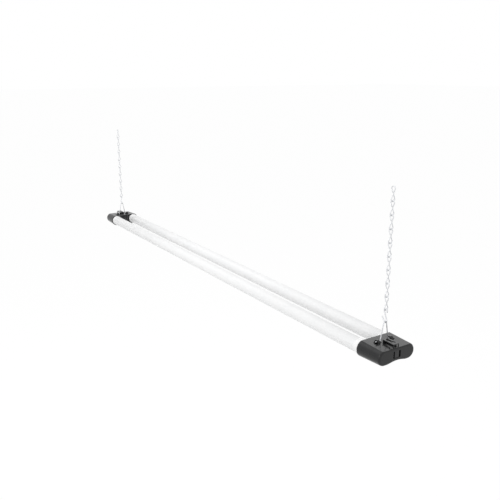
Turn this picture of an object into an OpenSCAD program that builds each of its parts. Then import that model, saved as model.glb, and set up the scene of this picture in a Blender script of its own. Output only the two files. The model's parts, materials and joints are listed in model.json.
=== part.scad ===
// Hanging twin-tube shop light: two frosted LED tubes between two moulded end
// caps, hung from V-hooks, S-hooks and single-jack chains.
// Origin: midway between the two points where the ceiling hooks carry the chains.
// +X runs along the light to the outlet end, +Y across it, +Z up.

/* [Light] */
// Overall length over both end caps
light_l = 1208; // [700:1:1600]
// Outside diameter of each tube
tube_d = 25.4; // [22:0.1:32]
// Wall thickness of each tube
tube_wall = 1.2; // [0.8:0.1:2]
// Distance between the two tube centres
tube_pitch = 53; // [46:0.5:70]
// How far each tube reaches into its cap
tube_seat = 14.2; // [10:0.1:22]

/* [End caps] */
// Wall thickness of a cap
cap_wall = 2.2; // [1.8:0.1:2.6]
// Gap between a tube and the cap around it
tube_fit = 0.3; // [0.2:0.05:0.6]
// Rise of the hollow arch under a cap
arch_rise = 4; // [1:0.5:6]
// How much the arch rises further towards the outer end
arch_taper = 2; // [0.5:0.5:3]
// How much the lobes draw in towards the outer end
lobe_draft = 1.8; // [0.5:0.1:2.2]
// How far the flat top is cut below the crown of the lobes
crown_cut = 1; // [0.4:0.1:1.2]
// Rounding of the edge round the outer end
edge_r = 3.5; // [3:0.5:5]

/* [Hanging lugs] */
// Distance from a cap's outer end to its lug axis
lug_inset = 31; // [30:0.5:34]
// Distance from the middle of the cap to the inner face of a lug
lug_y = 12.4; // [12:0.1:15]
// Thickness of a lug across the light
lug_t = 5; // [4:0.5:6]
// Wall of a lug round its arch
lug_wall = 1.8; // [1.5:0.1:2.5]
// Width of the arch that a hook foot passes through
lug_gap = 7; // [6:0.1:7.6]

/* [Keyhole housing] */
// Length of the raised housing
boss_l = 26; // [24:0.5:26]
// Width of the raised housing
boss_w = 13; // [12.5:0.5:15]
// Height of the housing above the cap
boss_h = 5; // [4.5:0.5:8]
// Thickness of the plate that holds the keyhole
key_plate = 1.6; // [1.4:0.1:2]
// Diameter of the round end of the keyhole
key_head_d = 8.2; // [7.5:0.1:8.8]
// Width of the narrow part of the keyhole
key_slot_w = 4.4; // [4.2:0.1:5]
// Distance from the round end's centre to the narrow part's end
key_run = 13; // [10:0.5:13]

/* [Chains and hooks] */
// Links in each chain
link_count = 9; // [4:1:9]
// Distance that one link adds to the chain
link_pitch = 22.6; // [20:0.1:28]
// Wire diameter of the chain
chain_wire = 1.7; // [1.5:0.1:1.9]
// Outside width of a link's eye
eye_w = 9.2; // [8.6:0.1:10]
// Wire diameter of an S-hook
s_wire = 2.2; // [1.8:0.1:2.4]
// Distance between the two seats of an S-hook
s_hook_l = 21; // [20:0.5:30]
// Wire diameter of a V-hook
v_wire = 2; // [1.8:0.1:2.2]
// Height of a V-hook from its seat to the lug axis
v_hook_h = 32; // [26:0.5:45]
// Free play at every wire seat
hook_play = 0.3; // [0.2:0.05:0.4]

/* [Link outlet and power inlet] */
// Width of the pocket in the end face
pocket_w = 16; // [14:0.5:18]
// Height of the pocket in the end face
pocket_h = 12; // [11:0.2:12.6]
// Depth of the pocket's collar
collar_l = 5; // [4:0.5:6]
// Width of the raised grip on the outlet cover
grip_w = 9.4; // [7:0.1:11]

/* [Tube collars] */
// Length of the collar round each tube beside its cap
collar_ring_l = 10; // [6:0.5:14]
// Thickness of that collar
collar_ring_t = 0.6; // [0.4:0.1:1]

/* [Light sources] */
// Lamps on each board
led_count = 60; // [20:1:90]
// Width of a lamp board
board_w = 12; // [10:0.5:14]

/* [Hidden] */
$fn = 64;
e = 0.01;

// Colours
cap_grey = [0.25, 0.25, 0.26];
tube_white = [0.95, 0.95, 0.94];
zinc = [0.68, 0.69, 0.71];
black = [0.08, 0.08, 0.09];
aluminium = [0.8, 0.81, 0.83];
copper = [0.8, 0.5, 0.3];

// Heights down the hanging gear, from the ceiling hooks at 0
seat_s = -link_count * link_pitch;
seat_v = seat_s - s_hook_l;
lug_z = seat_v - v_hook_h;

// Seats along the cap, whose own frame has its end face at x = 0: the stops
// for the gaskets lie just behind the lugs
floor_t = 1.2;
gasket_t = 1.5;
ring_t = 2;
ring_x = -lug_inset - lug_gap / 2 - floor_t;
tube_end = ring_x - gasket_t;
cap_l = tube_seat - tube_end;
ring_bore = tube_d / 2 - 3.2;

// The flat top falls with the lobes, and is at z = 0 above the lug axis
bore_fit_r = tube_d / 2 + tube_fit;
lobe_r = bore_fit_r + cap_wall;
lobe_y = tube_pitch / 2;
top_slope = atan(lobe_draft / cap_l);
function top_at(x) = -(x + lug_inset) * tan(top_slope);
tube_z = top_at(-cap_l) + crown_cut - lobe_r;
under_z = tube_z - lobe_r;
shell = cap_wall + 0.1;
web_inset = 3;
web_t = 2;

// The lug arch, round the flat top's level, hangs on the V-hook's foot wire
arch_top = v_wire / 2 + hook_play;
lug_axis = lug_gap / 2 - arch_top;
well_d = 2.5;
well_reach = 4;
cap_top = lug_z - lug_axis;
hang_x = light_l / 2 - lug_inset;

// Keyhole housing
boss_out = -2.5;
boss_in = boss_out - boss_l;
boss_wall = 1.8;
boss_post = 1.6;
boss_well = 2.6;
sill = 0.1;
key_head_x = boss_out - key_head_d;

// The arch is as wide as it can be without thinning the wall round a tube
arch_tilt = atan(arch_taper / cap_l);
arch_high = arch_rise + (tube_seat + gasket_t + ring_t) * tan(arch_tilt);
arch_r = (lobe_y * lobe_y + arch_high * arch_high) / (2 * arch_high) - lobe_r;

// Screws and posts for the web cover
pilot_r = 1.25;
screw_r = 1.5;
screw_play = 0.05;
screw_l = 9;
head_r = 2.8;
head_h = 1.8;
post_r = head_r + 0.6;
post_l = 13;
post_y = 5;
post_z = -shell - head_r - 0.2;

// Pocket, outlet and inlet
pocket_z = tube_z + 1.1;
pocket_wall = 2;
insert_l = 14;
insert_gap = 0.2;
flange_t = 2;
pin_pitch = 4.6;
pin_r = 1.2;
contact_back = 4;
sleeve_t = 0.4;

// Inside the tubes
bore_r = tube_d / 2 - tube_wall;
carrier_t = 1.5;
carrier_z = 4;
carrier_half = sqrt(pow(bore_r, 2) - pow(carrier_z + carrier_t, 2)) - 0.3;
rail_t = 1.2;
rail_h = 3;
pcb_t = 1;
lamp_l = 3.5;
lamp_w = 2.8;
lamp_t = 0.8;
carrier_half_l = light_l / 2 + tube_end - 0.5;
pcb_half_l = carrier_half_l - 4;
wire_r = 0.9;
wire_step = 2.4;
wire_z = tube_z + carrier_z + carrier_t + wire_r + 0.1;

// Driver board, upright across the far cap between ribs on the cap's roof
rib_t = 1;
rib_h = 4;
rib_gap = 0.3;
rib_y = lobe_y - 6;
pcb_x = ring_x + ring_t + 2.1;
driver_t = 1.6;
driver_out = pcb_x + driver_t;
driver_top = -well_d - floor_t - 0.4;
driver_low = under_z + arch_rise + cap_wall + 2.4;
driver_rear = lobe_y - wire_step - wire_r - 0.4;

// What stands on the board: the tall pieces clear the inlet's block
core_w = 12;
can_r = 4;
ring_choke_r = 5.1;
fuse_l = 10;
terminal_w = 10;
capacitor_y = -pocket_w / 2 - can_r - 0.7;
transformer_y = capacitor_y - can_r - 0.3 - core_w / 2;
driver_front = transformer_y - core_w / 2;
choke_y = capacitor_y + can_r + ring_choke_r + 0.6;
fuse_y = choke_y + ring_choke_r + fuse_l / 2 + 0.9;
terminal_y = driver_rear - terminal_w - 0.1;

// A round rod from one point to another
module rod(from, to, r) {
    d = to - from;
    l = norm(d);
    translate(from)
        rotate([0, acos(d[2] / l), atan2(d[1], d[0])])
            cylinder(r = r, h = l);
}

// A straight leg between two bends of a wire: it reaches a little way into
// both, and is a hair thinner so that the surfaces meet cleanly
module leg(from, to, r) {
    reach = 0.2 * (to - from) / norm(to - from);
    rod(from - reach, to + reach, r - 0.015);
}

function unit(v) = v / norm(v);

// How far a bend of radius bend_r cuts back each of two legs that would meet
function bend_trim(d1, d2, bend_r) = bend_r * tan(acos(d1 * d2) / 2);

// The bend itself: the wire arrives at the corner along d1 and leaves along d2
module bend(corner, d1, d2, bend_r, r) {
    n = unit(d2 - (d1 * d2) * d1);
    c = corner - bend_trim(d1, d2, bend_r) * d1 + bend_r * n;
    z = cross(-n, d1);
    multmatrix([
        [-n[0], d1[0], z[0], c[0]],
        [-n[1], d1[1], z[1], c[1]],
        [-n[2], d1[2], z[2], c[2]],
        [0, 0, 0, 1]
    ])
        rotate_extrude(angle = acos(d1 * d2)) translate([bend_r, 0]) circle(r);
}

// Part of a wire ring in the XZ plane, from angle a0 to a1 about its centre
module wire_arc(centre_z, ring_r, a0, a1, r) {
    translate([0, 0, centre_z])
        rotate([90, 0, 0])
            rotate([0, 0, a0])
                rotate_extrude(angle = a1 - a0)
                    translate([ring_r, 0]) circle(r);
}

// Half outline of a nose along X: it narrows from radius r0 at x0 to r1 at x1,
// where its edge is rounded by r
module nose(x0, x1, r0, r1, r) {
    draft = atan((r0 - r1) / (x1 - x0));
    mid = r1 + r * tan(draft) - r / cos(draft);
    polygon([
        [x0, 0], [x1, 0], [x1, mid],
        [x1 - r + r * sin(draft), mid + r * cos(draft)], [x0, r0]
    ]);
    translate([x1 - r, mid]) circle(r);
}

// The hollow arch under a cap, which rises towards the outer end
module arch_cut(inset) {
    translate([-cap_l, 0, under_z + arch_rise - arch_r])
        rotate([0, 90 - arch_tilt, 0])
            cylinder(r = arch_r + inset, h = 3 * cap_l, center = true, $fn = 256);
}

// A solid cap, drawn in on all sides by an inset and open-ended by reach: a
// half-round lobe outside each tube, and a block between their middles
module cap_block(inset, reach) {
    x0 = -cap_l - reach;
    r0 = lobe_r + reach * tan(top_slope) - inset;
    r1 = lobe_r - lobe_draft - inset;
    difference() {
        union() {
            for (side = [0, 1]) mirror([0, side, 0])
                translate([0, lobe_y, tube_z]) rotate([0, 90, 0])
                    rotate_extrude(angle = 180) mirror([1, -1, 0])
                        nose(x0, -inset, r0, r1, edge_r - inset);
            translate([0, 0, tube_z]) rotate([90, 0, 0])
                linear_extrude(2 * lobe_y, center = true) {
                    nose(x0, -inset, r0, r1, edge_r - inset);
                    mirror([0, 1]) nose(x0, -inset, r0, r1, edge_r - inset);
                }
        }
        translate([-lug_inset, 0, -inset]) rotate([0, top_slope, 0])
            translate([-2 * cap_l, -2 * lobe_y, 0]) cube([4 * cap_l, 4 * lobe_y, lobe_r]);
        arch_cut(inset);
    }
}

// A lug seen along Y: outline or opening, with the given radius and foot
module lug_outline(r, foot) {
    translate([-lug_inset, 0]) intersection() {
        union() {
            circle(r);
            translate([-r, foot]) square([2 * r, -foot]);
        }
        translate([-r, foot]) square([2 * r, r - foot]);
    }
}

// Both lugs of a cap, or their openings
module lug_pair(r, foot, y0, y1) {
    for (side = [-1, 1])
        translate([0, side * (y0 + y1) / 2, 0])
            rotate([90, 0, 0])
                linear_extrude(y1 - y0, center = true) lug_outline(r, foot);
}

// Upright block with rounded corners
module soft_block(x0, x1, w, z0, z1, r) {
    translate([0, 0, z0]) linear_extrude(z1 - z0) {
        translate([x0, -w / 2 + r]) square([x1 - x0, w - 2 * r]);
        translate([x0 + r, -w / 2]) square([x1 - x0 - 2 * r, w]);
        for (x = [x0 + r, x1 - r], y = [-w / 2 + r, w / 2 - r])
            translate([x, y]) circle(r);
    }
}

// Opening through a wall of the housing from x0 to x1: its sill follows the
// flat top
module housing_window(x0, x1, w) {
    top = boss_h - key_plate;
    rotate([90, 0, 0]) linear_extrude(w, center = true)
        polygon([[x0, top_at(x0) + sill], [x1, top_at(x1) + sill], [x1, top], [x0, top]]);
}

// Space inside the keyhole housing, its windows and the keyhole itself
module keyhole_space() {
    inner_w = boss_w - 2 * boss_wall;
    top = boss_h - key_plate;
    translate([boss_in + boss_wall, -inner_w / 2, -boss_well])
        cube([boss_l - 2 * boss_wall, inner_w, top + boss_well]);
    housing_window(boss_out - boss_wall - e, boss_out + e, inner_w);
    housing_window(boss_in + boss_post, boss_out - boss_post, boss_w + 2 * e);
    translate([key_head_x, 0, top - e]) cylinder(d = key_head_d, h = key_plate + 2);
    translate([key_head_x - key_run, 0, top - e]) cylinder(d = key_slot_w, h = key_plate + 2);
    translate([key_head_x - key_run, -key_slot_w / 2, top - e])
        cube([key_run, key_slot_w, key_plate + 2]);
}

// Moulded end cap, in its own frame
module cap() {
    well_w = lug_t + 2 * well_reach;
    difference() {
        union() {
            difference() {
                cap_block(0, 0);
                cap_block(shell, 1);
                // bores for the tubes, up to their stops
                for (side = [-1, 1])
                    translate([-cap_l - 1, side * lobe_y, tube_z]) rotate([0, 90, 0])
                        cylinder(r = bore_fit_r, h = cap_l + 1 + ring_x);
            }
            intersection() {
                cap_block(0.5, 0);
                union() {
                    // stops for the tube gaskets
                    for (side = [-1, 1])
                        translate([ring_x, side * lobe_y, tube_z])
                            rotate([0, 90, 0]) cylinder(r = lobe_r + 1, h = ring_t);
                    // posts for the web cover's screws
                    for (side = [-1, 1])
                        translate([-cap_l + web_inset + web_t, side * post_y, post_z])
                            rotate([0, 90, 0]) cylinder(r = post_r, h = post_l);
                    // collar round the pocket
                    translate([-cap_wall - collar_l, -pocket_w / 2 - pocket_wall,
                        pocket_z - pocket_h / 2 - pocket_wall])
                        cube([collar_l + cap_wall, pocket_w + 2 * pocket_wall,
                            pocket_h + 2 * pocket_wall]);
                    // floors of the lug wells and the keyhole well
                    for (side = [-1, 1])
                        translate([-lug_inset - lug_gap / 2 - floor_t,
                            side * (lug_y + lug_t / 2) - well_w / 2 - floor_t,
                            -well_d - floor_t])
                            cube([lug_gap + 2 * floor_t, well_w + 2 * floor_t,
                                well_d + floor_t]);
                    translate([boss_in + boss_wall - floor_t, -boss_w / 2, -boss_well - floor_t])
                        cube([boss_l - boss_wall, boss_w, boss_well + floor_t]);
                    // slots that hold a board upright
                    for (side = [-1, 1], x = [pcb_x - rib_gap - rib_t, driver_out + rib_gap])
                        translate([x, side * rib_y - rib_h / 2, driver_top - rib_h])
                            cube([rib_t, rib_h, -driver_top + rib_h]);
                }
            }
            lug_pair(lug_gap / 2 + lug_wall, -1, lug_y, lug_y + lug_t);
            soft_block(boss_in, boss_out, boss_w, -cap_wall, boss_h, boss_wall);
        }
        // bores of the gasket stops
        for (side = [-1, 1])
            translate([ring_x - e, side * lobe_y, tube_z])
                rotate([0, 90, 0]) cylinder(r = ring_bore, h = ring_t + 2 * e);
        // blind pilot holes in the posts
        for (side = [-1, 1])
            translate([-cap_l + web_inset + web_t - e, side * post_y, post_z])
                rotate([0, 90, 0]) cylinder(r = pilot_r, h = post_l - 2);
        // pocket through the end wall and its collar
        translate([-cap_wall - collar_l - e, -pocket_w / 2, pocket_z - pocket_h / 2])
            cube([collar_l + cap_wall + 1, pocket_w, pocket_h]);
        lug_pair(lug_gap / 2, -well_d, lug_y - 1, lug_y + lug_t + 1);
        for (side = [-1, 1])
            translate([-lug_inset - lug_gap / 2, side * (lug_y + lug_t / 2) - well_w / 2,
                -well_d])
                cube([lug_gap, well_w, well_d + 0.5]);
        keyhole_space();
    }
}

// Puts a piece of the near cap, drawn in the cap's frame, at its place
module at_near() {
    translate([light_l / 2, 0, cap_top]) children();
}

// The far cap is the same moulding, turned end for end
module at_far() {
    rotate([0, 0, 180]) at_near() children();
}

module near_end_cap() { color(cap_grey) at_near() cap(); }
module far_end_cap() { color(cap_grey) at_far() cap(); }

// Cover that closes the cap between the two tubes
module web_cover() {
    x0 = -cap_l + web_inset;
    gap = 0.2;
    half = lobe_y - bore_fit_r / 2;
    difference() {
        translate([x0, -half, under_z])
            cube([web_t, 2 * half, top_at(x0 + web_t) - shell - gap - under_z]);
        arch_cut(shell + gap);
        for (side = [-1, 1])
            translate([x0 - e, side * lobe_y, tube_z])
                rotate([0, 90, 0]) cylinder(r = bore_fit_r + gap, h = web_t + 2 * e);
        for (side = [-1, 1])
            translate([x0 - e, side * post_y, post_z])
                rotate([0, 90, 0]) cylinder(r = screw_r + gap, h = web_t + 2 * e);
    }
}
module near_web_cover() { color(black) at_near() web_cover(); }
module far_web_cover() { color(black) at_far() web_cover(); }

// Screws that hold the web cover, driven towards the outer end
module cover_screws() {
    x0 = -cap_l + web_inset;
    slot_l = 3.2;
    slot_w = 0.7;
    slot_d = 1;
    for (side = [-1, 1])
        translate([x0, side * post_y, post_z]) rotate([0, 90, 0]) {
            translate([0, 0, -head_h]) difference() {
                cylinder(r = head_r, h = head_h);
                for (turn = [0, 90])
                    rotate([0, 0, turn]) translate([-slot_l / 2, -slot_w / 2, -e])
                        cube([slot_l, slot_w, slot_d]);
            }
            cylinder(r = pilot_r - screw_play, h = screw_l);
        }
}
module near_cover_screws() { color(black) at_near() cover_screws(); }
module far_cover_screws() { color(black) at_far() cover_screws(); }

// Soft ring between each tube's end and its stop in the cap
module gaskets() {
    for (side = [-1, 1])
        translate([tube_end, side * lobe_y, tube_z]) rotate([0, 90, 0])
            difference() {
                cylinder(d = tube_d, h = gasket_t);
                translate([0, 0, -e]) cylinder(r = ring_bore, h = gasket_t + 2 * e);
            }
}
module near_gaskets() { color(black) at_near() gaskets(); }
module far_gaskets() { color(black) at_far() gaskets(); }

// A piece that runs the length of one tube, drawn about the tube's axis
module in_tube(side) {
    translate([0, side * lobe_y, cap_top + tube_z]) children();
}

// Frosted tube
module tube() {
    l = light_l + 2 * tube_end;
    rotate([0, 90, 0]) difference() {
        cylinder(d = tube_d, h = l, center = true);
        cylinder(r = bore_r, h = l + 2, center = true);
    }
}
module front_tube() { color(tube_white) in_tube(-1) tube(); }
module rear_tube() { color(tube_white) in_tube(1) tube(); }

// Collars that close the caps' mouths round one tube
module collars() {
    gap = 0.05;
    for (end = [0, 1]) mirror([end, 0, 0])
        translate([light_l / 2 - cap_l - collar_ring_l - gap, 0, 0]) rotate([0, 90, 0])
            difference() {
                cylinder(r = tube_d / 2 + gap + collar_ring_t, h = collar_ring_l);
                translate([0, 0, -e]) cylinder(r = tube_d / 2 + gap, h = collar_ring_l + 2 * e);
            }
}
module front_collars() { color("whitesmoke") in_tube(-1) collars(); }
module rear_collars() { color("whitesmoke") in_tube(1) collars(); }

// Folded aluminium carrier that spreads the heat of the lamps
module carrier() {
    translate([-carrier_half_l, -carrier_half, carrier_z])
        cube([2 * carrier_half_l, 2 * carrier_half, carrier_t]);
    for (side = [-1, 1])
        translate([-carrier_half_l, side * (carrier_half - rail_t / 2) - rail_t / 2,
            carrier_z - rail_h])
            cube([2 * carrier_half_l, rail_t, rail_h]);
}
module front_carrier() { color(aluminium) in_tube(-1) carrier(); }
module rear_carrier() { color(aluminium) in_tube(1) carrier(); }

// Lamp board under the carrier
module led_board() {
    translate([-pcb_half_l, -board_w / 2, carrier_z - pcb_t])
        cube([2 * pcb_half_l, board_w, pcb_t]);
}
module front_led_board() { color("white") in_tube(-1) led_board(); }
module rear_led_board() { color("white") in_tube(1) led_board(); }

// Row of lamps that shine down
module leds() {
    step = 2 * pcb_half_l / led_count;
    for (i = [0 : led_count - 1])
        translate([-pcb_half_l + (i + 0.5) * step - lamp_l / 2, -lamp_w / 2,
            carrier_z - pcb_t - lamp_t])
            cube([lamp_l, lamp_w, lamp_t]);
}
module front_leds() { color("khaki") in_tube(-1) leds(); }
module rear_leds() { color("khaki") in_tube(1) leds(); }

// Back of the inserts: it sits against the collar inside the cap
insert_x = -cap_wall - collar_l;

// Block of an insert with the flange that stops it against the collar
module insert_block() {
    translate([-flange_t, -pocket_w / 2 - pocket_wall, -pocket_h / 2 - pocket_wall])
        cube([flange_t, pocket_w + 2 * pocket_wall, pocket_h + 2 * pocket_wall]);
    translate([-insert_l, -pocket_w / 2, -pocket_h / 2]) cube([insert_l, pocket_w, pocket_h]);
}

// Body of the outlet, with a blind hole for each contact
module link_outlet() {
    color(black) at_near() translate([insert_x, 0, pocket_z]) difference() {
        insert_block();
        for (i = [-1, 0, 1])
            translate([-insert_l + contact_back, i * pin_pitch, 0])
                rotate([0, 90, 0]) cylinder(r = pin_r + sleeve_t + 0.1, h = insert_l);
    }
}

// Sprung sleeves that grip the pins of a link lead
module outlet_contacts() {
    color(copper) at_near()
        for (i = [-1, 0, 1])
            translate([insert_x - insert_l + contact_back, i * pin_pitch, pocket_z])
                rotate([0, 90, 0]) difference() {
                    cylinder(r = pin_r + sleeve_t + 0.05, h = insert_l - contact_back - 1);
                    translate([0, 0, 1]) cylinder(r = pin_r + 0.05, h = insert_l);
                }
}

// Pull-off cover: a plate in the pocket with a raised grip
module outlet_cover() {
    plate_t = 1.6;
    grip_l = collar_l + cap_wall - plate_t - 0.4;
    color(cap_grey) at_near() translate([insert_x, 0, pocket_z]) {
        translate([0, -pocket_w / 2 + insert_gap, -pocket_h / 2 + insert_gap])
            cube([plate_t, pocket_w - 2 * insert_gap, pocket_h - 2 * insert_gap]);
        translate([plate_t, 0, 0]) rotate([0, 90, 0])
            soft_block(-pocket_h / 2 + insert_gap, pocket_h / 2 - insert_gap, grip_w,
                0, grip_l, 1);
    }
}

// Body of the power inlet: a socket that holds the mains pins
module power_inlet() {
    wall = 1.5;
    back = 5;
    color(black) at_far() translate([insert_x, 0, pocket_z]) difference() {
        insert_block();
        translate([-insert_l + back, -pocket_w / 2 + wall, -pocket_h / 2 + wall])
            cube([insert_l, pocket_w - 2 * wall, pocket_h - 2 * wall]);
        for (i = [-1, 0, 1])
            translate([-insert_l - e, i * pin_pitch, 0])
                rotate([0, 90, 0]) cylinder(r = pin_r, h = insert_l);
    }
}

// Mains pins, flush with the back of the inlet
module inlet_pins() {
    tip_l = 1;
    shaft_l = insert_l - 2;
    color(copper) at_far()
        for (i = [-1, 0, 1])
            translate([insert_x - insert_l, i * pin_pitch, pocket_z])
                rotate([0, 90, 0]) {
                    cylinder(r = pin_r, h = shaft_l);
                    translate([0, 0, shaft_l]) cylinder(r1 = pin_r, r2 = pin_r / 2, h = tip_l);
                }
}

// Three insulated wires from inlet to outlet over the rear tube's carrier
module through_wires() {
    bend_r = 5;
    bend_x = light_l / 2 + insert_x - insert_l / 2 - bend_r;
    color("silver") for (i = [-1, 0, 1]) {
        y = lobe_y + i * wire_step;
        r = bend_r + i * wire_step;
        translate([0, 0, cap_top + wire_z]) {
            rod([-bend_x, y, 0], [bend_x, y, 0], wire_r);
            for (end = [0, 1]) mirror([end, 0, 0]) {
                translate([bend_x, lobe_y - bend_r, 0])
                    rotate_extrude(angle = 90) translate([r, 0]) circle(wire_r);
                rod([bend_x + r, lobe_y - bend_r, 0], [bend_x + r, pocket_w / 2, 0], wire_r);
            }
        }
    }
}

// Leads from the driver board to both lamp boards
module led_leads() {
    from = -light_l / 2 - pcb_x;
    lead_r = 0.4;
    lead_step = 0.9;
    color("silver")
        for (side = [-1, 1], i = [0, 1]) {
            y = side * lobe_y - board_w / 2 + 2 * lead_r + i * lead_step;
            translate([0, 0, cap_top + tube_z + carrier_z - pcb_t / 2])
                rod([from, y, 0], [-pcb_half_l, y, 0], lead_r);
        }
}

// Driver board and what stands on it
module driver_board() {
    color("darkgreen") at_far() mirror([0, 1, 0])
        translate([pcb_x, driver_front, driver_low])
            cube([driver_t, driver_rear - driver_front, driver_top - driver_low]);
}

// Wound transformer on its core
module driver_transformer() {
    core_h = 11;
    cheek_t = 2.5;
    coil_l = 7;
    color("gold") at_far() mirror([0, 1, 0])
        translate([driver_out, transformer_y, tube_z - 1]) {
            for (x = [0, cheek_t + coil_l])
                translate([x, -core_w / 2, -core_h / 2]) cube([cheek_t, core_w, core_h]);
            translate([cheek_t, 0, 0]) rotate([0, 90, 0]) cylinder(r = 4.6, h = coil_l);
        }
}

// Storage capacitor with its rolled edge
module driver_capacitor() {
    bead_x = 2;
    bead_w = 0.6;
    can_l = 13.6;
    color("navy") at_far() mirror([0, 1, 0])
        translate([driver_out, capacitor_y, tube_z - 3]) rotate([0, 90, 0]) {
            cylinder(r = can_r, h = bead_x);
            translate([0, 0, bead_x]) cylinder(r = can_r - 0.3, h = bead_w);
            translate([0, 0, bead_x + bead_w]) cylinder(r = can_r, h = can_l - bead_x - bead_w);
        }
}

// Ring choke, standing on edge
module driver_choke() {
    coil_r = 2.1;
    color("orangered") at_far() mirror([0, 1, 0])
        translate([driver_out + coil_r + 0.1, choke_y, driver_top - ring_choke_r - 0.1])
            rotate([0, 90, 0])
                rotate_extrude() translate([ring_choke_r - coil_r, 0]) circle(coil_r);
}

// Glass fuse with its end caps
module driver_fuse() {
    glass_r = 1.4;
    cap_r = 1.8;
    color("lightgrey") at_far() mirror([0, 1, 0])
        translate([driver_out + cap_r + 0.1, fuse_y, driver_top - cap_r - 0.6])
            rotate([90, 0, 0]) {
                cylinder(r = glass_r, h = fuse_l, center = true);
                for (end = [-1, 1])
                    translate([0, 0, end * (fuse_l / 2 - 1)])
                        cylinder(r = cap_r, h = 2, center = true);
            }
}

// Screw terminal for the mains wires
module driver_terminal() {
    terminal_h = 9;
    terminal_d = 6;
    hole_step = 4.5;
    color("mediumseagreen") at_far() mirror([0, 1, 0])
        translate([driver_out, terminal_y, tube_z - 6]) difference() {
            cube([terminal_d, terminal_w, terminal_h]);
            for (side = [-1, 1])
                translate([terminal_d / 2, terminal_w / 2 + side * hole_step / 2, terminal_h - 3])
                    cylinder(r = 1.4, h = 4);
        }
}

// Single-jack link: an eye in the XZ plane above a waist, and one in the YZ
// plane below it; the wire's two ends meet at the waist
link_l = link_pitch + chain_wire + hook_play;
eye_r = (eye_w - chain_wire) / 2;
eye_z = link_l / 2 - eye_r;
waist_r = 0.56 * chain_wire;
waist_z = 1.9;
waist_bend = 3;
eye_reach = norm([waist_r, eye_z - waist_z]);
eye_leg = sqrt(eye_reach * eye_reach - eye_r * eye_r);
eye_turn = atan2(eye_z - waist_z, waist_r) - atan2(eye_leg, eye_r);

// Half a link: an eye, the leg that ends at the waist, and the leg that
// bends there towards the other eye
module half_link() {
    r = chain_wire / 2;
    side_x = eye_r * cos(eye_turn);
    side_z = eye_z - eye_r * sin(eye_turn);
    waist = [waist_r, 0, waist_z];
    down = unit(waist - [side_x, 0, side_z]);
    across = unit([0, waist_r, -waist_z] - waist);
    wire_arc(eye_z, eye_r, -eye_turn, 180 + eye_turn, r);
    leg([-side_x, 0, side_z], [-waist_r, 0, waist_z], r);
    leg([side_x, 0, side_z], waist - bend_trim(down, across, waist_bend) * down, r);
    bend(waist, down, across, waist_bend, r);
}

module jack_link() {
    waist = [waist_r, 0, waist_z];
    other = [0, waist_r, -waist_z];
    across = unit(other - waist);
    down = unit(waist - [eye_r * cos(eye_turn), 0, eye_z - eye_r * sin(eye_turn)]);
    trim = bend_trim(down, across, waist_bend);
    half_link();
    rotate([180, 0, 90]) half_link();
    leg(waist + trim * across, other - trim * across, chain_wire / 2);
}

// Link number i of the chain at one end
module chain_link(x, i) {
    color(zinc) translate([x, 0, -(i - 0.5) * link_pitch]) jack_link();
}

// S-hook in the XZ plane, hung at seat_s and carrying at seat_v
module s_hook(x) {
    r = 3.4;
    arm_lean = 32;
    arm_l = 8.5;
    zu = seat_s + (s_wire + hook_play) / 2 - r;
    zl = seat_v - (s_wire + hook_play) / 2 + r;
    lean = asin(2 * r / (zu - zl));
    arm_x = -r * cos(arm_lean);
    arm_z = zl - r * sin(arm_lean);
    color(zinc) translate([x, 0, 0]) {
        wire_arc(zu, r, -35, 180 + lean, s_wire / 2);
        wire_arc(zl, r, arm_lean - 180, lean, s_wire / 2);
        leg([arm_x, 0, arm_z],
            [arm_x - arm_l * sin(arm_lean), 0, arm_z + arm_l * cos(arm_lean)], s_wire / 2);
        leg([-r * cos(lean), 0, zu - r * sin(lean)],
            [r * cos(lean), 0, zl + r * sin(lean)], s_wire / 2);
    }
}

// V-hook in the YZ plane: a bend over the S-hook, two legs, and two feet
// that turn outwards through the lugs
module v_hook(x) {
    top_r = 3.2;
    foot_r = 2.5;
    foot_y = lug_y - 1.6;
    tip_y = lug_y + lug_t + 2;
    za = seat_v + (v_wire + hook_play) / 2 - top_r;
    zf = lug_z + foot_r;
    reach = norm([foot_y, zf - za]);
    leg = sqrt(reach * reach - pow(top_r + foot_r, 2));
    lean = atan2(zf - za, foot_y) + atan2(leg, top_r + foot_r);
    color(zinc) translate([x, 0, 0]) {
        rotate([0, 0, 90]) wire_arc(za, top_r, lean, 180 - lean, v_wire / 2);
        for (side = [0, 1]) mirror([0, side, 0]) {
            leg([0, top_r * cos(lean), za + top_r * sin(lean)],
                [0, foot_y - foot_r * cos(lean), zf - foot_r * sin(lean)], v_wire / 2);
            translate([0, foot_y, 0]) rotate([0, 0, 90])
                wire_arc(zf, foot_r, 180 + lean, 270, v_wire / 2);
            leg([0, foot_y, lug_z], [0, tip_y, lug_z], v_wire / 2);
        }
    }
}

module near_s_hook() { s_hook(hang_x); }
module far_s_hook() { s_hook(-hang_x); }
module near_v_hook() { v_hook(hang_x); }
module far_v_hook() { v_hook(-hang_x); }

for (i = [1 : link_count]) {
    chain_link(hang_x, i);
    chain_link(-hang_x, i);
}
near_s_hook();
far_s_hook();
near_v_hook();
far_v_hook();
near_end_cap();
far_end_cap();
near_web_cover();
far_web_cover();
near_cover_screws();
far_cover_screws();
near_gaskets();
far_gaskets();
front_tube();
rear_tube();
front_collars();
rear_collars();
front_carrier();
rear_carrier();
front_led_board();
rear_led_board();
front_leds();
rear_leds();
link_outlet();
outlet_contacts();
outlet_cover();
power_inlet();
inlet_pins();
through_wires();
led_leads();
driver_board();
driver_transformer();
driver_capacitor();
driver_choke();
driver_fuse();
driver_terminal();
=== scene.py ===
import json
import math

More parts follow.
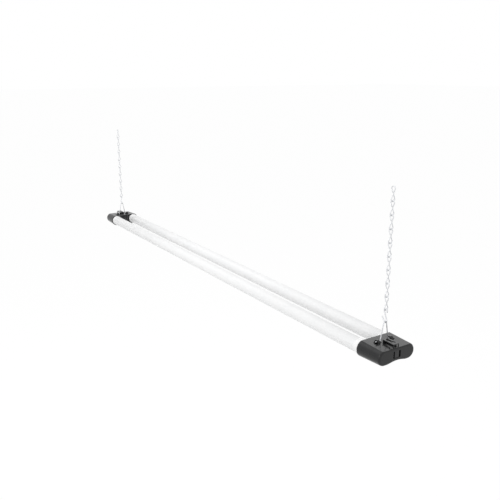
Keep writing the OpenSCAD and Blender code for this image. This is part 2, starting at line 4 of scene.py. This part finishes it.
import bmesh
import bpy
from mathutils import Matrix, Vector


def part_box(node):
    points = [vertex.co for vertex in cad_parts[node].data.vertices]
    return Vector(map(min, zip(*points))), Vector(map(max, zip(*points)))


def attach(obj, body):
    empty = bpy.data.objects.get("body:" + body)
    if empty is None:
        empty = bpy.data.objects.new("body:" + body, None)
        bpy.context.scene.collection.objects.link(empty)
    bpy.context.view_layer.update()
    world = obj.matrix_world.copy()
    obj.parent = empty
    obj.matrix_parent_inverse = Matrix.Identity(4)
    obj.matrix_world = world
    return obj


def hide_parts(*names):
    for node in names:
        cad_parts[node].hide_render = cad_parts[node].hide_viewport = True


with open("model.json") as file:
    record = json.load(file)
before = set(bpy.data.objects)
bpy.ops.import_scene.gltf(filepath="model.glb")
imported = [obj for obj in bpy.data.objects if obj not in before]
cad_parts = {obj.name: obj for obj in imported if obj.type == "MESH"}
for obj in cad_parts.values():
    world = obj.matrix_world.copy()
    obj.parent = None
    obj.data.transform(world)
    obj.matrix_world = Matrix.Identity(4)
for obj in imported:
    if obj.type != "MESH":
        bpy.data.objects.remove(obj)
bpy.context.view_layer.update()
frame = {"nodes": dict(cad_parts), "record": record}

nodes = frame["nodes"]
MM = 0.001


class Value:
    """One output of a shader node; + and * on it add Math nodes."""

    def __init__(self, finish, socket):
        self.finish, self.socket = finish, socket

    def maths(self, operation, *values):
        return self.finish.node("Math", {"operation": operation}, *values)

    def __add__(self, other):
        return self.maths("ADD", self, other)

    __radd__ = __add__

    def __mul__(self, other):
        return self.maths("MULTIPLY", self, other)

    __rmul__ = __mul__

    def ramp(self, low, high):
        """0 below low, 1 above high, smooth between."""
        return self.finish.node("MapRange", {"interpolation_type": "SMOOTHSTEP"},
                                Value=self, From_Min=low, From_Max=high)


class Finish:
    """A node material whose main shader is a Principled BSDF."""

    def __init__(self, name, **plain):
        self.material = bpy.data.materials.new(name)
        self.material.use_nodes = True
        self.tree = self.material.node_tree
        self.shader = self.tree.nodes["Principled BSDF"]
        for key, value in plain.items():
            self.set(key, value)
        self.place = self.node("TexCoord", {}, output="Object")

    def fill(self, socket, value):
        """Link a Value to a socket, or set a number or a colour on it."""
        if isinstance(value, Value):
            self.tree.links.new(value.socket, socket)
        elif socket.type == "RGBA":
            socket.default_value = (*value, 1.0)
        else:
            socket.default_value = value

    def node(self, kind, settings, *values, output=0, **named):
        """A new shader node, its sockets filled in order or by name."""
        made = self.tree.nodes.new("ShaderNode" + kind)
        for key, value in settings.items():
            setattr(made, key, value)
        sockets = [s for s in made.inputs if s.enabled]
        for socket, value in zip(sockets, values):
            self.fill(socket, value)
        for key, value in named.items():
            self.fill(next(s for s in sockets if s.name == key.replace("_", " ")), value)
        found = [s for s in made.outputs if s.enabled]
        return Value(self, found[output] if isinstance(output, int)
                     else next(s for s in found if s.name == output))

    def set(self, key, value):
        self.fill(self.shader.inputs[key.replace("_", " ")], value)

    def noise(self, size, detail=3.0, stretch=(1, 1, 1)):
        """Noise between 0 and 1 whose features are about size metres."""
        at = self.node("Mapping", {}, Vector=self.place, Scale=stretch)
        return self.node("TexNoise", {}, Vector=at, Scale=1 / size, Detail=detail,
                         Roughness=0.55, output="Fac")

    def mix(self, share, low, high):
        """A colour between low and high."""
        return self.node("Mix", {"data_type": "RGBA"}, Factor=share, A=low, B=high)

    def relief(self, height, depth):
        """Bumps of the given depth in metres."""
        return self.node("Bump", {}, Height=height, Distance=depth, Strength=1.0)


def dress(finish, *names):
    """Give CAD nodes a finish as they are."""
    for name in names:
        nodes[name].data.materials[0] = finish.material


carrier_aluminium = Finish("carrier_aluminium", Metallic=1.0)
roll = carrier_aluminium.noise(0.6 * MM, stretch=(0.02, 1, 1))
carrier_aluminium.set("Base_Color", carrier_aluminium.mix(roll, (0.62, 0.63, 0.64),
                                                          (0.78, 0.79, 0.8)))
carrier_aluminium.set("Roughness", 0.32 + 0.2 * roll)
carrier_aluminium.set("Normal", carrier_aluminium.relief(roll, 0.01 * MM))

board_white = Finish("board_white")
mask = board_white.noise(1.5 * MM)
board_white.set("Base_Color", board_white.mix(mask, (0.78, 0.78, 0.75), (0.86, 0.86, 0.84)))
board_white.set("Roughness", 0.4 + 0.1 * mask)

lamp_phosphor = Finish("lamp_phosphor")
dust = lamp_phosphor.noise(0.3 * MM)
lamp_phosphor.set("Base_Color", lamp_phosphor.mix(dust, (0.75, 0.55, 0.12),
                                                  (0.9, 0.75, 0.25)))
lamp_phosphor.set("Roughness", 0.2 + 0.1 * dust)

dress(carrier_aluminium, "front_carrier", "rear_carrier")
dress(board_white, "front_led_board", "rear_led_board")
dress(lamp_phosphor, "front_leds", "rear_leds")

# The tubes: extruded polycarbonate with a frosted, faintly glossy skin, cut
# square with the edges just broken. The draw of the extrusion shows as very
# fine lines along the length.
TUBE_WALL = 1.2 * MM
TUBE_EDGE = 0.25 * MM
TUBE_SIDES = 96


def piece(name, made, body, slot, finishes, *stands_for):
    """A finished piece on a body, in place of the CAD nodes it stands for."""
    mesh = bpy.data.meshes.new(name)
    made.to_mesh(mesh)
    made.free()
    for finish in finishes:
        mesh.materials.append(finish.material)
    thing = bpy.data.objects.new(name, mesh)
    bpy.context.scene.collection.objects.link(thing)
    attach(thing, body)
    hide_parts(*stands_for)


def turned_mesh(outline, centre, sides):
    """A ring turned about a line along X, from its outline of (x, radius)."""
    made = bmesh.new()
    turns = [2 * math.pi * k / sides for k in range(sides)]
    rings = [[made.verts.new((x, centre.y + r * math.cos(t), centre.z + r * math.sin(t)))
              for t in turns] for x, r in outline]
    for a, b in zip(rings, rings[1:] + rings[:1]):
        for k in range(sides):
            after = (k + 1) % sides
            face = made.faces.new((a[k], b[k], b[after], a[after]))
            face.smooth = abs(a[0].co.x - b[0].co.x) > MM
    bmesh.ops.recalc_face_normals(made, faces=made.faces)
    return made


tube_frosted = Finish("tube_frosted", Specular_IOR_Level=0.4)
draw = tube_frosted.noise(1.2 * MM, stretch=(0.01, 1, 1))
haze = tube_frosted.noise(30 * MM, 2)
tube_frosted.set("Base_Color", tube_frosted.mix((draw * 0.5 + haze * 0.5).ramp(0.3, 0.7),
                                                (0.87, 0.875, 0.88), (0.91, 0.91, 0.91)))
tube_frosted.set("Roughness", 0.34 + 0.12 * draw)
tube_frosted.set("Normal", tube_frosted.relief(draw, 0.01 * MM))

for side in ("front", "rear"):
    low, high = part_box(f"{side}_tube")
    outer = (high.z - low.z) / 2
    inner, broken = outer - TUBE_WALL, outer - TUBE_EDGE
    outline = [(low.x, inner), (low.x, broken), (low.x + TUBE_EDGE, outer),
               (high.x - TUBE_EDGE, outer), (high.x, broken), (high.x, inner)]
    made = turned_mesh(outline, (low + high) / 2, TUBE_SIDES)
    piece(f"{side}_tube_shell", made, "light", "tube_frosted", [tube_frosted],
          f"{side}_tube")

# The tube collars: thin milky sleeves pushed along the tubes up to the caps,
# where they close the gap in the caps' mouths.
collar_plastic = Finish("collar_plastic", Specular_IOR_Level=0.5)
milk = collar_plastic.noise(5 * MM)
collar_plastic.set("Base_Color", collar_plastic.mix(milk, (0.88, 0.88, 0.88),
                                                    (0.93, 0.93, 0.93)))
collar_plastic.set("Roughness", 0.26 + 0.1 * milk)
dress(collar_plastic, "front_collars", "rear_collars")

# The gaskets: soft black rubber rings between the tubes' ends and the stops
# in the caps.
gasket_rubber = Finish("gasket_rubber")
bloom = gasket_rubber.noise(2 * MM)
gasket_rubber.set("Base_Color", gasket_rubber.mix(bloom, (0.012, 0.012, 0.012),
                                                  (0.03, 0.03, 0.03)))
gasket_rubber.set("Roughness", 0.7 + 0.15 * bloom)
gasket_rubber.set("Normal", gasket_rubber.relief(bloom, 0.04 * MM))
dress(gasket_rubber, "near_gaskets", "far_gaskets")

# The driver stands across the far cap: a green board with its transformer,
# capacitor, choke, fuse and terminal. White insulated wires run from it to
# the lamp boards, and along the rear tube from the inlet to the outlet.
board_green = Finish("board_green")
weave = board_green.noise(0.8 * MM)
board_green.set("Base_Color", board_green.mix(weave, (0.01, 0.1, 0.04), (0.02, 0.17, 0.07)))
board_green.set("Roughness", 0.3 + 0.15 * weave)
dress(board_green, "driver_board")

transformer_tape = Finish("transformer_tape")
lap = transformer_tape.noise(1.5 * MM, stretch=(1, 0.1, 1))
transformer_tape.set("Base_Color", transformer_tape.mix(lap, (0.62, 0.42, 0.03),
                                                        (0.75, 0.55, 0.06)))
transformer_tape.set("Roughness", 0.35 + 0.15 * lap)
dress(transformer_tape, "driver_transformer")

capacitor_can = Finish("capacitor_can")
sleeve = capacitor_can.noise(2 * MM)
capacitor_can.set("Base_Color", capacitor_can.mix(sleeve, (0.015, 0.02, 0.08),
                                                  (0.03, 0.04, 0.13)))
capacitor_can.set("Roughness", 0.25 + 0.1 * sleeve)
dress(capacitor_can, "driver_capacitor")

choke_winding = Finish("choke_winding", Metallic=0.8)
turns = choke_winding.node("TexWave", {"bands_direction": "Z"}, Vector=choke_winding.place,
                           Scale=1 / (1.6 * MM), output="Fac")
choke_winding.set("Base_Color", choke_winding.mix(turns, (0.3, 0.08, 0.02),
                                                  (0.62, 0.24, 0.08)))
choke_winding.set("Roughness", 0.25 + 0.15 * turns)
choke_winding.set("Normal", choke_winding.relief(turns, 0.12 * MM))
dress(choke_winding, "driver_choke")

fuse_glass = Finish("fuse_glass", Transmission_Weight=0.6)
film = fuse_glass.noise(2 * MM)
fuse_glass.set("Base_Color", fuse_glass.mix(film, (0.75, 0.78, 0.78), (0.9, 0.92, 0.92)))
fuse_glass.set("Roughness", 0.05 + 0.1 * film)
dress(fuse_glass, "driver_fuse")

terminal_plastic = Finish("terminal_plastic")
mould = terminal_plastic.noise(1 * MM)
terminal_plastic.set("Base_Color", terminal_plastic.mix(mould, (0.03, 0.2, 0.07),
                                                        (0.05, 0.28, 0.1)))
terminal_plastic.set("Roughness", 0.4 + 0.15 * mould)
dress(terminal_plastic, "driver_terminal")

wire_pvc = Finish("wire_pvc")
skin = wire_pvc.noise(1 * MM)
wire_pvc.set("Base_Color", wire_pvc.mix(skin, (0.7, 0.7, 0.7), (0.82, 0.82, 0.82)))
wire_pvc.set("Roughness", 0.3 + 0.15 * skin)
dress(wire_pvc, "through_wires", "led_leads")

# The link outlet at the near end and the power inlet at the far end: black
# mouldings pushed in behind the collars of the caps' pockets, with rolled
# copper contacts in one and turned brass pins in the other.
inner_plastic = Finish("inner_plastic")
speck = inner_plastic.noise(0.5 * MM)
inner_plastic.set("Base_Color", inner_plastic.mix(speck, (0.016, 0.016, 0.017),
                                                  (0.026, 0.026, 0.027)))
inner_plastic.set("Roughness", 0.5 + 0.15 * speck)
inner_plastic.set("Normal", inner_plastic.relief(speck, 0.03 * MM))
dress(inner_plastic, "link_outlet", "power_inlet")


def bare_metal(name, colour, dull):
    """Plated or turned metal, a little clouded where it is handled."""
    metal = Finish(name, Metallic=1.0)
    cloud = metal.noise(4 * MM, 4)
    rub = metal.noise(0.7 * MM, 2)
    tone = (cloud * 0.7 + rub * 0.3).ramp(0.35, 0.7)
    metal.set("Base_Color", metal.mix(tone, [c * dull for c in colour], colour))
    metal.set("Roughness", 0.3 + 0.2 * cloud + 0.1 * rub)
    metal.set("Normal", metal.relief(metal.noise(0.35 * MM, 2), 0.02 * MM))
    return metal


contact_copper = bare_metal("contact_copper", (0.8, 0.46, 0.26), 0.75)
pin_brass = bare_metal("pin_brass", (0.8, 0.62, 0.3), 0.8)
dress(contact_copper, "outlet_contacts")
dress(pin_brass, "inlet_pins")

# The end caps: dark grey injection mouldings, both from one mould, with eased
# edges and a fine grain under a satin polish. The lugs and the keyhole housing
# are moulded on top; their wells and the pocket are darkened as painted shade.
CAP_VOXEL = 0.3 * MM
CAP_PASSES = 2
KEPT_SHARE = 0.35
HALF_L = 604 * MM
CAP_TOP = -258.6 * MM
# Boxes in mm from the middle of a cap's top edge at its outer end, which get
# painted shade: inside the housing, the hollow under each lug, and the pocket
# in the end face.
WELLS = (((-26.9, -4.8, -2.8), (-4.2, 4.8, 3.5)),
         ((-34.6, 8.3, -2.6), (-27.4, 21.5, -0.3)),
         ((-34.6, -21.5, -2.6), (-27.4, -8.3, -0.3)),
         ((-8, -8.1, -18.5), (-0.4, 8.1, -6.3)))


def body_of(node):
    """The body that a CAD node belongs to."""
    return next(body for body, names in frame["record"]["behaviour"]["bodies"].items()
                if node in names)


def in_painted_shade_wells(at):
    """Whether a point of either cap lies in one of its wells or its pocket, where shade is
    painted.
    """
    sign = 1 if at.x > 0 else -1
    spot = ((sign * at.x - HALF_L) / MM, sign * at.y / MM, (at.z - CAP_TOP) / MM)
    return any(all(a < v < b for a, v, b in zip(low, spot, high)) for low, high in WELLS)


def moulding(name, node, slot, finishes, voxel, passes):
    """A moulding with its edges eased, made from the exact part."""
    mesh = nodes[node].data.copy()
    thing = bpy.data.objects.new(name, mesh)
    bpy.context.scene.collection.objects.link(thing)
    remesh = thing.modifiers.new("mould", "REMESH")
    remesh.mode, remesh.voxel_size = "VOXEL", voxel
    ease = thing.modifiers.new("ease", "SMOOTH")
    ease.factor, ease.iterations = 0.5, passes
    thing.modifiers.new("thin", "DECIMATE").ratio = KEPT_SHARE
    made = bmesh.new()
    bpy.context.view_layer.update()
    made.from_object(thing, bpy.context.evaluated_depsgraph_get())
    bpy.data.objects.remove(thing)
    bpy.data.meshes.remove(mesh)
    for face in made.faces:
        face.smooth = True
        # Faces in the wells and the pocket take the second finish, which is painted shade.
        if len(finishes) > 1 and in_painted_shade_wells(face.calc_center_median()):
            face.material_index = 1
    piece(name, made, body_of(node), slot, finishes, node)


cap_plastic = Finish("cap_plastic", Specular_IOR_Level=0.3)
grain = cap_plastic.noise(0.35 * MM, 2)
cast = cap_plastic.noise(18 * MM)
cap_plastic.set("Base_Color", cap_plastic.mix((grain * 0.5 + cast * 0.5).ramp(0.3, 0.75),
                                              (0.015, 0.0152, 0.016), (0.021, 0.0213, 0.022)))
cap_plastic.set("Roughness", 0.18 + 0.06 * cast + 0.05 * grain)
cap_plastic.set("Normal", cap_plastic.relief(grain, 0.006 * MM))

# Painted shade for the wells and the pocket: near black and hardly glossy, standing in for
# the shade inside the hollows.
cap_wells = Finish("cap_wells", Specular_IOR_Level=0.08)
pits = cap_wells.noise(0.5 * MM)
cap_wells.set("Base_Color", cap_wells.mix(pits, (0.004, 0.004, 0.0042),
                                          (0.009, 0.009, 0.0095)))
cap_wells.set("Roughness", 0.7 + 0.15 * pits)
cap_wells.set("Normal", cap_wells.relief(pits, 0.03 * MM))
for end in ("near", "far"):
    moulding(f"{end}_cap_moulding", f"{end}_end_cap", "cap_plastic",
             [cap_plastic, cap_wells], CAP_VOXEL, CAP_PASSES)

# The web covers close the caps between the tubes: plain black mouldings, each
# held by two black oxide screws with a cross slot.
screw_steel = bare_metal("screw_steel", (0.06, 0.06, 0.065), 0.6)
dress(inner_plastic, "near_web_cover", "far_web_cover")
dress(screw_steel, "near_cover_screws", "far_cover_screws")

# The outlet cover: a small moulding that pulls off by its raised grip, in the
# caps' plastic but smoother.
COVER_VOXEL = 0.2 * MM
COVER_PASSES = 3
cover_plastic = Finish("cover_plastic", Specular_IOR_Level=0.32)
polish = cover_plastic.noise(6 * MM)
fine = cover_plastic.noise(0.3 * MM)
cover_plastic.set("Base_Color", cover_plastic.mix(polish, (0.024, 0.0245, 0.0255),
                                                  (0.032, 0.0325, 0.0335)))
cover_plastic.set("Roughness", 0.24 + 0.1 * polish)
cover_plastic.set("Normal", cover_plastic.relief(fine, 0.02 * MM))
moulding("outlet_cover_moulding", "outlet_cover", "cover_plastic", [cover_plastic],
         COVER_VOXEL, COVER_PASSES)

# The V-hooks: zinc-plated wire bent over the S-hook, with two legs and feet
# that turn outwards through the lugs. The legs spring apart to stay in.
HANG_X = 573 * MM
SEAT_V = -224.4 * MM
LUG_Z = -256.4 * MM
V_WIRE = 2 * MM
HOOK_PLAY = 0.3 * MM
TOP_R = 3.2 * MM
FOOT_R = 2.5 * MM
FOOT_Y = 10.8 * MM
TIP_Y = 19.4 * MM
WIRE_SIDES = 14
NIP = 0.12
EAST, NORTH, UP = Vector((1, 0, 0)), Vector((0, 1, 0)), Vector((0, 0, 1))


def arc(centre, radius, a0, a1, side, steps):
    """Points on an upright circle, by angles from the side direction up."""
    return [centre + radius * (math.cos(a) * side + math.sin(a) * UP)
            for a in (a0 + (a1 - a0) * i / steps for i in range(steps + 1))]


def wire_mesh(path, radius):
    """A round wire swept along a path, with its cut ends slightly nipped."""
    nip = NIP * radius
    first, last = path[1] - path[0], path[-2] - path[-1]
    path = ([path[0], path[0] + nip * first.normalized()] + path[1:-1]
            + [path[-1] + nip * last.normalized(), path[-1]])
    made = bmesh.new()
    across = first.orthogonal().normalized()
    turns = [2 * math.pi * k / WIRE_SIDES for k in range(WIRE_SIDES)]
    rings = []
    for i, at in enumerate(path):
        ahead = (path[min(i + 1, len(path) - 1)] - path[max(i - 1, 0)]).normalized()
        across = (across - across.dot(ahead) * ahead).normalized()
        other = ahead.cross(across)
        size = radius - (nip if i in (0, len(path) - 1) else 0)
        rings.append([made.verts.new(at + size * (math.cos(t) * across + math.sin(t) * other))
                      for t in turns])
    for low, high in zip(rings, rings[1:]):
        for k in range(WIRE_SIDES):
            after = (k + 1) % WIRE_SIDES
            made.faces.new((low[k], low[after], high[after], high[k]))
    for face in made.faces:
        face.smooth = True
    made.faces.new(reversed(rings[0]))
    made.faces.new(rings[-1])
    return made


def v_hook_path():
    """Centre line of a V-hook in the YZ plane, from one foot to the other."""
    top = SEAT_V + (V_WIRE + HOOK_PLAY) / 2 - TOP_R
    foot = LUG_Z + FOOT_R
    reach = math.hypot(FOOT_Y, foot - top)
    leg = math.sqrt(reach ** 2 - (TOP_R + FOOT_R) ** 2)
    lean = math.atan2(foot - top, FOOT_Y) + math.atan2(leg, TOP_R + FOOT_R)
    right = arc(Vector((0, FOOT_Y, foot)), FOOT_R, -math.pi / 2, lean - math.pi, NORTH, 10)
    half = [Vector((0, TIP_Y, LUG_Z))] + right
    half += arc(Vector((0, 0, top)), TOP_R, lean, math.pi / 2, NORTH, 10)
    return half + [Vector((0, -p.y, p.z)) for p in half[-2::-1]]


ZINC, ZINC_DULL = (0.78, 0.79, 0.81), 0.82
hook_zinc = bare_metal("hook_zinc", ZINC, ZINC_DULL)
for end, sign in (("near", 1), ("far", -1)):
    path = [p + sign * HANG_X * EAST for p in v_hook_path()]
    piece(f"{end}_v_wire", wire_mesh(path, V_WIRE / 2), f"{end}_chain", "hook_zinc",
          [hook_zinc], f"{end}_v_hook")

# The S-hooks: one at the foot of each chain, bent from heavier zinc-plated
# wire. The V-hook's bend lies in the lower crook, whose arm stands open.
SEAT_S = -203.4 * MM
S_WIRE = 2.2 * MM
CROOK_R = 3.4 * MM
MOUTH = math.radians(35)
ARM_LEAN = math.radians(32)
ARM_L = 8.5 * MM


def s_hook_path():
    """Centre line of an S-hook in the XZ plane."""
    upper = (SEAT_S + (S_WIRE + HOOK_PLAY) / 2 - CROOK_R) * UP
    lower = (SEAT_V - (S_WIRE + HOOK_PLAY) / 2 + CROOK_R) * UP
    lean = math.asin(2 * CROOK_R / (upper.z - lower.z))
    path = arc(upper, CROOK_R, -MOUTH, math.pi + lean, EAST, 26)
    path += arc(lower, CROOK_R, lean, ARM_LEAN - math.pi, EAST, 22)
    return path + [path[-1] + ARM_L * (math.cos(ARM_LEAN) * UP - math.sin(ARM_LEAN) * EAST)]


for end, sign in (("near", 1), ("far", -1)):
    path = [p + sign * HANG_X * EAST for p in s_hook_path()]
    piece(f"{end}_s_wire", wire_mesh(path, S_WIRE / 2), f"{end}_chain", "hook_zinc",
          [hook_zinc], f"{end}_s_hook")

# The chains: nine single-jack links each side, up to the ceiling hooks. Every
# link is one length of zinc-plated wire bent into two eyes at right angles,
# with both ends butted at the waist.
LINK_PITCH = 22.6 * MM
LINKS = 9
CHAIN_WIRE = 1.7 * MM
EYE_R = 3.75 * MM
EYE_Z = (LINK_PITCH + CHAIN_WIRE + HOOK_PLAY) / 2 - EYE_R
WAIST_R = 0.56 * CHAIN_WIRE
WAIST_Z = 1.9 * MM
WAIST_BEND = 3 * MM


def bend(before, corner, after, radius, steps=6):
    """The corner of a wire's path rounded with a true bend."""
    d1, d2 = (corner - before).normalized(), (after - corner).normalized()
    turn = d1.angle(d2)
    n = (d2 - d1.dot(d2) * d1).normalized()
    centre = corner - radius * math.tan(turn / 2) * d1 + radius * n
    return [centre - radius * math.cos(a) * n + radius * math.sin(a) * d1
            for a in (turn * i / steps for i in range(steps + 1))]


def link_path():
    """Centre line of a link: an eye in XZ above its waist, one in YZ below."""
    reach = math.hypot(WAIST_R, EYE_Z - WAIST_Z)
    turn = (math.atan2(EYE_Z - WAIST_Z, WAIST_R)
            - math.atan2(math.sqrt(reach ** 2 - EYE_R ** 2), EYE_R))
    upper = arc(EYE_Z * UP, EYE_R, math.pi + turn, -turn, EAST, 22)
    lower = arc(-EYE_Z * UP, EYE_R, turn, -math.pi - turn, NORTH, 22)
    start = WAIST_Z * UP - WAIST_R * EAST
    waist = WAIST_Z * UP + WAIST_R * EAST
    other = WAIST_R * NORTH - WAIST_Z * UP
    finish = -WAIST_R * NORTH - WAIST_Z * UP
    return ([start, start.lerp(upper[0], 0.5)] + upper
            + bend(upper[-1], waist, other, WAIST_BEND)
            + bend(waist, other, lower[0], WAIST_BEND)
            + lower + [finish.lerp(lower[-1], 0.5), finish])


chain_zinc = bare_metal("chain_zinc", ZINC, ZINC_DULL)
for end, sign in (("near", 1), ("far", -1)):
    for number in range(1, LINKS + 1):
        node = f"{end}_link_{number}"
        middle = sign * HANG_X * EAST - (number - 0.5) * LINK_PITCH * UP
        piece(f"{node}_wire", wire_mesh([middle + p for p in link_path()], CHAIN_WIRE / 2),
              body_of(node), "chain_zinc", [chain_zinc], node)

# The studio: a white floor well below the light, an even white surround, soft
# lamps overhead, at the front, over the far end and low at the back, and the
# camera of the photograph.
FLOOR_Z = -0.95
FLOOR_SIZE = 40
FLOOR_GLOW = 1.03
FLOOR_SHOWN = 0.9  # the rest is the lit floor, which keeps the shadow
SKY_LEVEL = 0.7


def seen_white(tree, others):
    """1 for rays from the camera, off gloss or through glass, else others."""
    ray = tree.nodes.new("ShaderNodeLightPath")
    most = ray.outputs["Is Camera Ray"]
    for name in ("Is Glossy Ray", "Is Transmission Ray"):
        join = tree.nodes.new("ShaderNodeMath")
        join.operation = "MAXIMUM"
        tree.links.new(most, join.inputs[0])
        tree.links.new(ray.outputs[name], join.inputs[1])
        most = join.outputs[0]
    level = tree.nodes.new("ShaderNodeMapRange")
    level.inputs["To Min"].default_value = others
    tree.links.new(most, level.inputs["Value"])
    return level.outputs[0]


floor_pale = Finish("floor_pale", Roughness=0.8, Specular_IOR_Level=0.2)
floor_pale.set("Base_Color", floor_pale.mix(floor_pale.noise(0.4), (0.84, 0.84, 0.84),
                                            (0.86, 0.86, 0.86)))
glow = floor_pale.node("Emission", {}, Color=(1, 1, 1), Strength=FLOOR_GLOW)
seen = FLOOR_SHOWN * Value(floor_pale, seen_white(floor_pale.tree, 0))
whole = floor_pale.node("MixShader", {}, seen,
                        Value(floor_pale, floor_pale.shader.outputs[0]), glow)
floor_pale.tree.links.new(whole.socket,
                          floor_pale.tree.nodes["Material Output"].inputs["Surface"])
made = bmesh.new()
bmesh.ops.create_grid(made, x_segments=8, y_segments=8, size=FLOOR_SIZE)
floor_mesh = bpy.data.meshes.new("floor")
made.to_mesh(floor_mesh)
made.free()
floor_mesh.materials.append(floor_pale.material)
floor = bpy.data.objects.new("floor", floor_mesh)
floor.location.z = FLOOR_Z
bpy.context.scene.collection.objects.link(floor)

surround = bpy.data.worlds.new("surround")
surround.use_nodes = True
bpy.context.scene.world = surround
sky = surround.node_tree.nodes["Background"]
sky.inputs["Color"].default_value = (1, 1, 1, 1)
surround.node_tree.links.new(seen_white(surround.node_tree, SKY_LEVEL),
                             sky.inputs["Strength"])


def soft_box(name, at, aim, size, power):
    """A square lamp at one point, turned to another."""
    light = bpy.data.lights.new(name, "AREA")
    light.energy, light.size = power, size
    box = bpy.data.objects.new(name, light)
    box.location = at
    box.rotation_euler = (Vector(aim) - Vector(at)).to_track_quat("-Z", "Y").to_euler()
    bpy.context.scene.collection.objects.link(box)


soft_box("overhead", (0, -0.7, 1.55), (0, 0, -0.3), 2, 8.5)
soft_box("front", (0.8, -2.2, 0.6), (0.1, 0, -0.27), 1.4, 13.3)
soft_box("far", (-0.8, -0.35, 0.7), (-0.45, 0, -0.27), 0.7, 1.8)
soft_box("back", (-0.46, 1.07, 0.39), (0.5, 0, -0.27), 0.8, 1.5)

PITCH, HEADING = math.radians(-15.91), math.radians(57.14)
lens = bpy.data.cameras.new("camera")
lens.sensor_width, lens.lens = 36, 45.36
camera = bpy.data.objects.new("camera", lens)
camera.location = (1.26255, -0.71019, 0.17299)
camera.rotation_euler = (math.pi / 2 + PITCH, 0, HEADING)
bpy.context.scene.collection.objects.link(camera)
bpy.context.scene.camera = camera
bpy.context.scene.view_settings.view_transform = "Standard"
